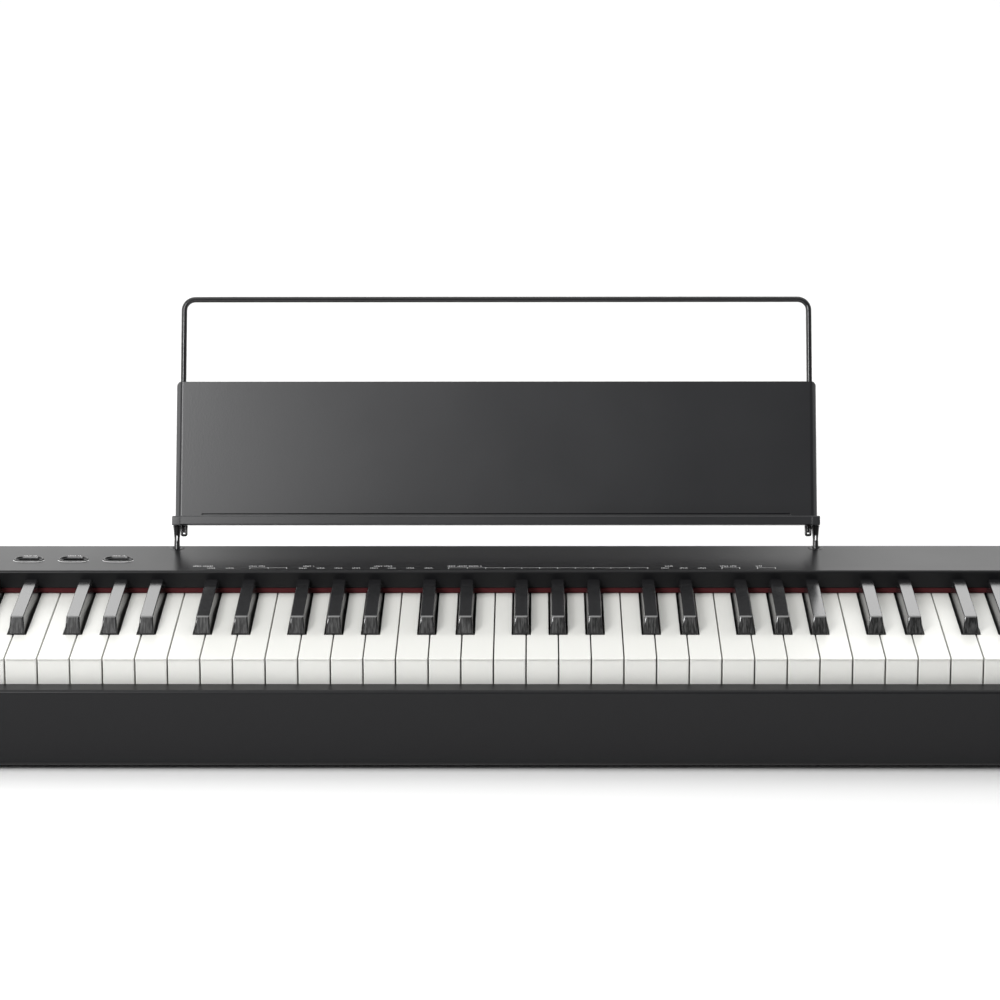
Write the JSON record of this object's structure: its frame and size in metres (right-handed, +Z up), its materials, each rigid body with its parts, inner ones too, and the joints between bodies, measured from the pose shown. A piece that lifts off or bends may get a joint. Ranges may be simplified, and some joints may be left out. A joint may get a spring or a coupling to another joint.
{
  "type": "digital piano",
  "caption": "Slim portable digital piano with a full keyboard, sloped charcoal case, red key felt, rear sockets and a slot-in music rest on a bent rod frame.",
  "frame": {"origin": "on the surface that the feet stand on, at the centre of the whole object's footprint, the leaned-back music rest included", "axes": "+X to the player's right along the keyboard, +Y away from the player towards the music rest, +Z up"},
  "size_m": [1.322, 0.3048, 0.2772],
  "materials": {
    "charcoal_case": "fine satin texture",
    "white_key": "satin, slightly warm white",
    "black_key": "matte top, grained sloping front",
    "red_felt": "woven felt",
    "grey_felt": "felt",
    "chassis_plastic": "moulded",
    "circuit_board": "solder mask",
    "contact_rubber": "matte silicone",
    "foot_rubber": "matte",
    "speaker_frame": "painted steel basket",
    "black_button": "satin",
    "black_fitting": "matte",
    "black_rod": "gloss black coated steel rod",
    "grey_rest": "fine grained charcoal"
  },
  "bodies": {
    "case": {"lower_case": "charcoal_case", "upper_case": "charcoal_case", "left_cheek": "charcoal_case", "right_cheek": "charcoal_case", "felt_strip": "red_felt", "key_chassis": "chassis_plastic", "key_stop_felt": "grey_felt", "contact_board": "circuit_board", "contact_rubber": "contact_rubber", "main_board": "circuit_board", "panel_board": "circuit_board", "jack_panel": "black_fitting", "speaker_left": "speaker_frame", "speaker_right": "speaker_frame", "foot_front_left": "foot_rubber", "foot_front_right": "foot_rubber", "foot_rear_left": "foot_rubber", "foot_rear_right": "foot_rubber", "rest_socket_left": "black_fitting", "rest_socket_right": "black_fitting"},
    "white_keys_0": {"white_keys_0": "white_key"},
    "key_as0": {"key_as0": "black_key"},
    "white_keys_1": {"white_keys_1": "white_key"},
    "black_keys_1": {"black_keys_1": "black_key"},
    "white_keys_2": {"white_keys_2": "white_key"},
    "black_keys_2": {"black_keys_2": "black_key"},
    "white_keys_3": {"white_keys_3": "white_key"},
    "black_keys_3": {"black_keys_3": "black_key"},
    "key_c4": {"key_c4": "white_key"},
    "key_cs4": {"key_cs4": "black_key"},
    "key_d4": {"key_d4": "white_key"},
    "key_ds4": {"key_ds4": "black_key"},
    "key_e4": {"key_e4": "white_key"},
    "key_f4": {"key_f4": "white_key"},
    "key_fs4": {"key_fs4": "black_key"},
    "key_g4": {"key_g4": "white_key"},
    "key_gs4": {"key_gs4": "black_key"},
    "key_a4": {"key_a4": "white_key"},
    "key_as4": {"key_as4": "black_key"},
    "key_b4": {"key_b4": "white_key"},
    "white_keys_5": {"white_keys_5": "white_key"},
    "black_keys_5": {"black_keys_5": "black_key"},
    "white_keys_6": {"white_keys_6": "white_key"},
    "black_keys_6": {"black_keys_6": "black_key"},
    "white_keys_7": {"white_keys_7": "white_key"},
    "black_keys_7": {"black_keys_7": "black_key"},
    "key_c8": {"key_c8": "white_key"},
    "power_button": {"power_button": "black_button"},
    "voice_button_1": {"voice_button_1": "black_button"},
    "voice_button_2": {"voice_button_2": "black_button"},
    "voice_button_3": {"voice_button_3": "black_button"},
    "voice_button_4": {"voice_button_4": "black_button"},
    "volume_slider": {"volume_slider": "black_button"},
    "music_rest": {"rest_frame": "black_rod", "rest_panel": "grey_rest", "rest_ledge": "grey_rest", "rest_clip_left": "black_rod", "rest_clip_right": "black_rod", "rest_leg_left": "black_rod", "rest_leg_right": "black_rod"}
  },
  "joints": [
    {"name": "rest_lift_out", "type": "slide", "parent": "case", "child": "music_rest", "axis": [0, 0.421, 0.907], "range_m": [0, 0.05]},
    {"name": "volume_slide", "type": "slide", "parent": "case", "child": "volume_slider", "axis": [1, 0, 0], "range_m": [-0.018, 0.018]},
    {"name": "power_button_press", "type": "slide", "parent": "case", "child": "power_button", "axis": [0, 0, -1], "range_m": [0, 0.0015], "stiffness_N_per_m": 400, "springref_m": -0.002},
    {"name": "voice_button_1_press", "type": "slide", "parent": "case", "child": "voice_button_1", "axis": [0, 0, -1], "range_m": [0, 0.0015], "stiffness_N_per_m": 400, "springref_m": -0.002},
    {"name": "voice_button_2_press", "type": "slide", "parent": "case", "child": "voice_button_2", "axis": [0, 0, -1], "range_m": [0, 0.0015], "stiffness_N_per_m": 400, "springref_m": -0.002},
    {"name": "voice_button_3_press", "type": "slide", "parent": "case", "child": "voice_button_3", "axis": [0, 0, -1], "range_m": [0, 0.0015], "stiffness_N_per_m": 400, "springref_m": -0.002},
    {"name": "voice_button_4_press", "type": "slide", "parent": "case", "child": "voice_button_4", "axis": [0, 0, -1], "range_m": [0, 0.0015], "stiffness_N_per_m": 400, "springref_m": -0.002},
    {"name": "key_as0_press", "type": "hinge", "parent": "case", "child": "key_as0", "pos_m": [0, 0.05358, 0.072], "axis": [1, 0, 0], "range_deg": [0, 3], "stiffness_Nm_per_rad": 2, "springref_deg": -8.02},
    {"name": "key_c4_press", "type": "hinge", "parent": "case", "child": "key_c4", "pos_m": [0, 0.05358, 0.072], "axis": [1, 0, 0], "range_deg": [0, 3], "stiffness_Nm_per_rad": 2, "springref_deg": -8.02},
    {"name": "key_cs4_press", "type": "hinge", "parent": "case", "child": "key_cs4", "pos_m": [0, 0.05358, 0.072], "axis": [1, 0, 0], "range_deg": [0, 3], "stiffness_Nm_per_rad": 2, "springref_deg": -8.02},
    {"name": "key_d4_press", "type": "hinge", "parent": "case", "child": "key_d4", "pos_m": [0, 0.05358, 0.072], "axis": [1, 0, 0], "range_deg": [0, 3], "stiffness_Nm_per_rad": 2, "springref_deg": -8.02},
    {"name": "key_ds4_press", "type": "hinge", "parent": "case", "child": "key_ds4", "pos_m": [0, 0.05358, 0.072], "axis": [1, 0, 0], "range_deg": [0, 3], "stiffness_Nm_per_rad": 2, "springref_deg": -8.02},
    {"name": "key_e4_press", "type": "hinge", "parent": "case", "child": "key_e4", "pos_m": [0, 0.05358, 0.072], "axis": [1, 0, 0], "range_deg": [0, 3], "stiffness_Nm_per_rad": 2, "springref_deg": -8.02},
    {"name": "key_f4_press", "type": "hinge", "parent": "case", "child": "key_f4", "pos_m": [0, 0.05358, 0.072], "axis": [1, 0, 0], "range_deg": [0, 3], "stiffness_Nm_per_rad": 2, "springref_deg": -8.02},
    {"name": "key_fs4_press", "type": "hinge", "parent": "case", "child": "key_fs4", "pos_m": [0, 0.05358, 0.072], "axis": [1, 0, 0], "range_deg": [0, 3], "stiffness_Nm_per_rad": 2, "springref_deg": -8.02},
    {"name": "key_g4_press", "type": "hinge", "parent": "case", "child": "key_g4", "pos_m": [0, 0.05358, 0.072], "axis": [1, 0, 0], "range_deg": [0, 3], "stiffness_Nm_per_rad": 2, "springref_deg": -8.02},
    {"name": "key_gs4_press", "type": "hinge", "parent": "case", "child": "key_gs4", "pos_m": [0, 0.05358, 0.072], "axis": [1, 0, 0], "range_deg": [0, 3], "stiffness_Nm_per_rad": 2, "springref_deg": -8.02},
    {"name": "key_a4_press", "type": "hinge", "parent": "case", "child": "key_a4", "pos_m": [0, 0.05358, 0.072], "axis": [1, 0, 0], "range_deg": [0, 3], "stiffness_Nm_per_rad": 2, "springref_deg": -8.02},
    {"name": "key_as4_press", "type": "hinge", "parent": "case", "child": "key_as4", "pos_m": [0, 0.05358, 0.072], "axis": [1, 0, 0], "range_deg": [0, 3], "stiffness_Nm_per_rad": 2, "springref_deg": -8.02},
    {"name": "key_b4_press", "type": "hinge", "parent": "case", "child": "key_b4", "pos_m": [0, 0.05358, 0.072], "axis": [1, 0, 0], "range_deg": [0, 3], "stiffness_Nm_per_rad": 2, "springref_deg": -8.02},
    {"name": "key_c8_press", "type": "hinge", "parent": "case", "child": "key_c8", "pos_m": [0, 0.05358, 0.072], "axis": [1, 0, 0], "range_deg": [0, 3], "stiffness_Nm_per_rad": 2, "springref_deg": -8.02},
    {"name": "white_keys_0_press", "type": "hinge", "parent": "case", "child": "white_keys_0", "pos_m": [0, 0.05358, 0.072], "axis": [1, 0, 0], "range_deg": [0, 3], "stiffness_Nm_per_rad": 4, "springref_deg": -8.02},
    {"name": "white_keys_1_press", "type": "hinge", "parent": "case", "child": "white_keys_1", "pos_m": [0, 0.05358, 0.072], "axis": [1, 0, 0], "range_deg": [0, 3], "stiffness_Nm_per_rad": 12, "springref_deg": -8.02},
    {"name": "black_keys_1_press", "type": "hinge", "parent": "case", "child": "black_keys_1", "pos_m": [0, 0.05358, 0.072], "axis": [1, 0, 0], "range_deg": [0, 3], "stiffness_Nm_per_rad": 8, "springref_deg": -8.02},
    {"name": "white_keys_2_press", "type": "hinge", "parent": "case", "child": "white_keys_2", "pos_m": [0, 0.05358, 0.072], "axis": [1, 0, 0], "range_deg": [0, 3], "stiffness_Nm_per_rad": 12, "springref_deg": -8.02},
    {"name": "black_keys_2_press", "type": "hinge", "parent": "case", "child": "black_keys_2", "pos_m": [0, 0.05358, 0.072], "axis": [1, 0, 0], "range_deg": [0, 3], "stiffness_Nm_per_rad": 8, "springref_deg": -8.02},
    {"name": "white_keys_3_press", "type": "hinge", "parent": "case", "child": "white_keys_3", "pos_m": [0, 0.05358, 0.072], "axis": [1, 0, 0], "range_deg": [0, 3], "stiffness_Nm_per_rad": 12, "springref_deg": -8.02},
    {"name": "black_keys_3_press", "type": "hinge", "parent": "case", "child": "black_keys_3", "pos_m": [0, 0.05358, 0.072], "axis": [1, 0, 0], "range_deg": [0, 3], "stiffness_Nm_per_rad": 8, "springref_deg": -8.02},
    {"name": "white_keys_5_press", "type": "hinge", "parent": "case", "child": "white_keys_5", "pos_m": [0, 0.05358, 0.072], "axis": [1, 0, 0], "range_deg": [0, 3], "stiffness_Nm_per_rad": 12, "springref_deg": -8.02},
    {"name": "black_keys_5_press", "type": "hinge", "parent": "case", "child": "black_keys_5", "pos_m": [0, 0.05358, 0.072], "axis": [1, 0, 0], "range_deg": [0, 3], "stiffness_Nm_per_rad": 8, "springref_deg": -8.02},
    {"name": "white_keys_6_press", "type": "hinge", "parent": "case", "child": "white_keys_6", "pos_m": [0, 0.05358, 0.072], "axis": [1, 0, 0], "range_deg": [0, 3], "stiffness_Nm_per_rad": 12, "springref_deg": -8.02},
    {"name": "black_keys_6_press", "type": "hinge", "parent": "case", "child": "black_keys_6", "pos_m": [0, 0.05358, 0.072], "axis": [1, 0, 0], "range_deg": [0, 3], "stiffness_Nm_per_rad": 8, "springref_deg": -8.02},
    {"name": "white_keys_7_press", "type": "hinge", "parent": "case", "child": "white_keys_7", "pos_m": [0, 0.05358, 0.072], "axis": [1, 0, 0], "range_deg": [0, 3], "stiffness_Nm_per_rad": 12, "springref_deg": -8.02},
    {"name": "black_keys_7_press", "type": "hinge", "parent": "case", "child": "black_keys_7", "pos_m": [0, 0.05358, 0.072], "axis": [1, 0, 0], "range_deg": [0, 3], "stiffness_Nm_per_rad": 8, "springref_deg": -8.02}
  ]
}
